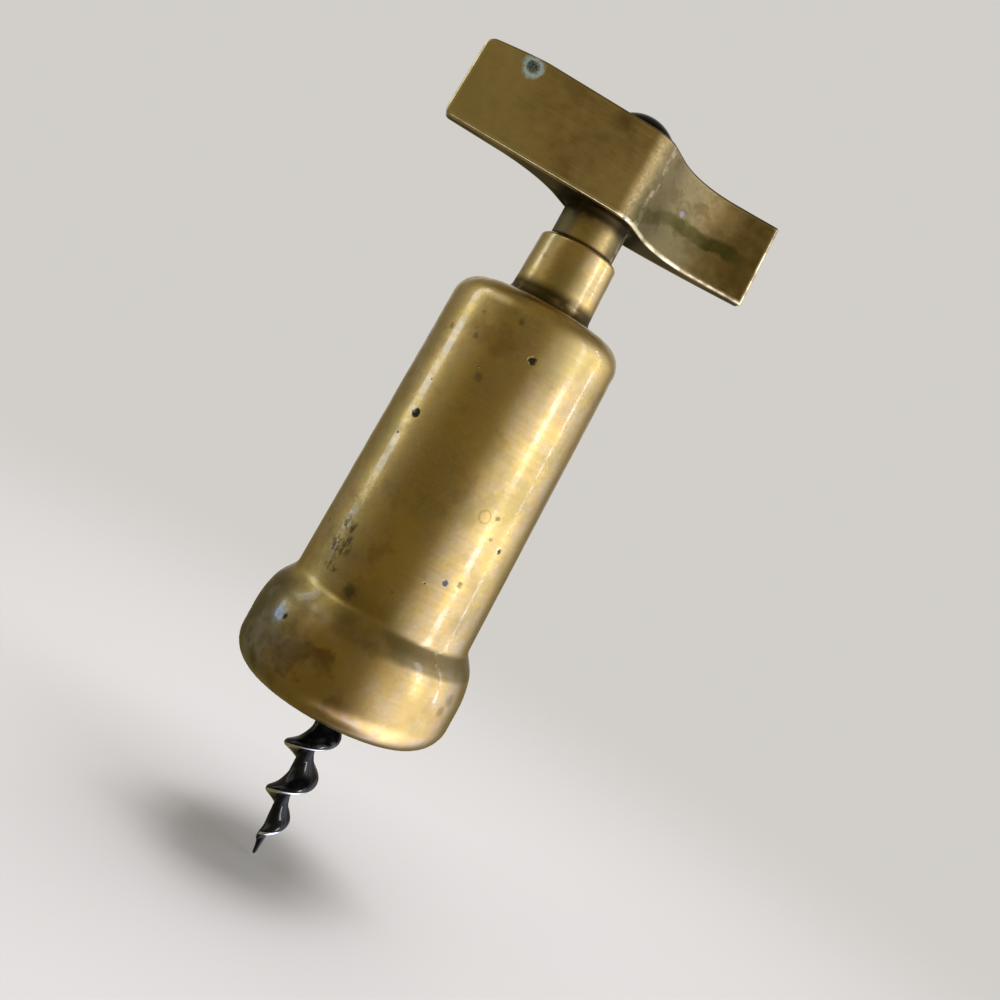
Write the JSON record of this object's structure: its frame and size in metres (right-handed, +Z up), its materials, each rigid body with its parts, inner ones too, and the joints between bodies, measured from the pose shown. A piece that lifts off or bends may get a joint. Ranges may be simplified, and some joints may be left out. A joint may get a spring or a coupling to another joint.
{
  "type": "bell corkscrew",
  "caption": "Brass bell that stands on a bottle, with a scooped T handle above it that turns and lifts a steel worm through the bell to draw the cork.",
  "frame": {"origin": "on the axis of the bell, in the plane of the ledge inside its mouth where the lip of the bottle seats", "axes": "+Z up along the axis to the handle, X along the two arms of the handle, Y across them"},
  "size_m": [0.0663, 0.043, 0.1562],
  "materials": {
    "aged_brass": "turned, aged to a warm brown gold",
    "dark_brass": "cast and worn, olive brown",
    "bronze": "plain",
    "black_steel": "glossy black",
    "black_cap": "glossy black",
    "plain_steel": "plain, zinc grey"
  },
  "bodies": {
    "bell": {"bell": "aged_brass"},
    "thrust_washer": {"thrust_washer": "bronze"},
    "handle": {"handle": "dark_brass", "worm": "black_steel", "lock_washer": "plain_steel", "shank_nut": "plain_steel", "top_cap": "black_cap"}
  },
  "joints": [
    {"name": "handle_lift", "type": "slide", "parent": "bell", "child": "thrust_washer", "axis": [0, 0, 1], "range_m": [0, 0.055]},
    {"name": "handle_turn", "type": "hinge", "parent": "thrust_washer", "child": "handle", "pos_m": [0, 0, 0], "axis": [0, 0, 1], "continuous": true}
  ]
}
